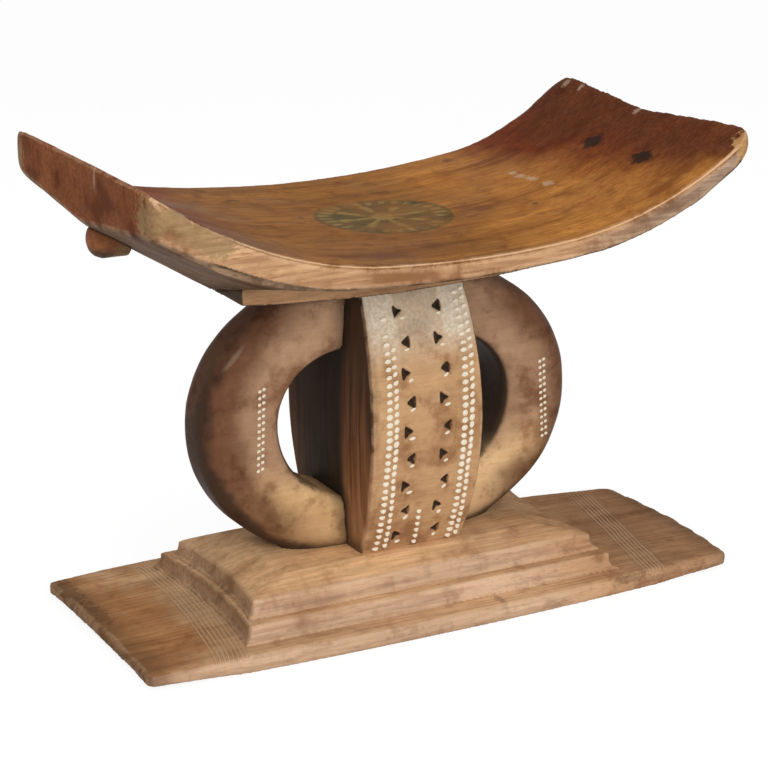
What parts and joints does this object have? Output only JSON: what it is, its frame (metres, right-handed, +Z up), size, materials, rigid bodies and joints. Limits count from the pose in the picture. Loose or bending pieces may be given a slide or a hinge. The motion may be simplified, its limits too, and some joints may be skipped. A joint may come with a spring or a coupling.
{
  "type": "carved stool",
  "caption": "Carved wooden stool: a curved seat on a bearer, a bowed chip-carved column inside an open ring, two steps and a flat base board.",
  "frame": {"origin": "middle of the underside of the base board, on the floor", "axes": "+X along the seat towards the scalloped end of the base board, +Y from the front to the back, +Z up"},
  "size_m": [0.445, 0.244, 0.3221],
  "materials": {
    "seat_wood": "handled to a soft gloss, golden to reddish brown",
    "dark_wood": "dark reddish patina, soft gloss",
    "panel_wood": "worn, with pale clay left in the cuts",
    "dry_wood": "dry and dusty, little gloss",
    "painted_inlay": "dark ground with dull gold painting"
  },
  "bodies": {
    "root": {"base_board": "dry_wood", "lower_step": "dry_wood", "upper_step": "dry_wood", "left_ring": "dark_wood", "right_ring": "dark_wood", "column_core": "dark_wood", "front_panel": "panel_wood", "back_panel": "panel_wood", "seat_bearer": "dark_wood", "seat": "seat_wood", "seat_lug": "dark_wood", "seat_roundel": "painted_inlay"}
  },
  "joints": []
}
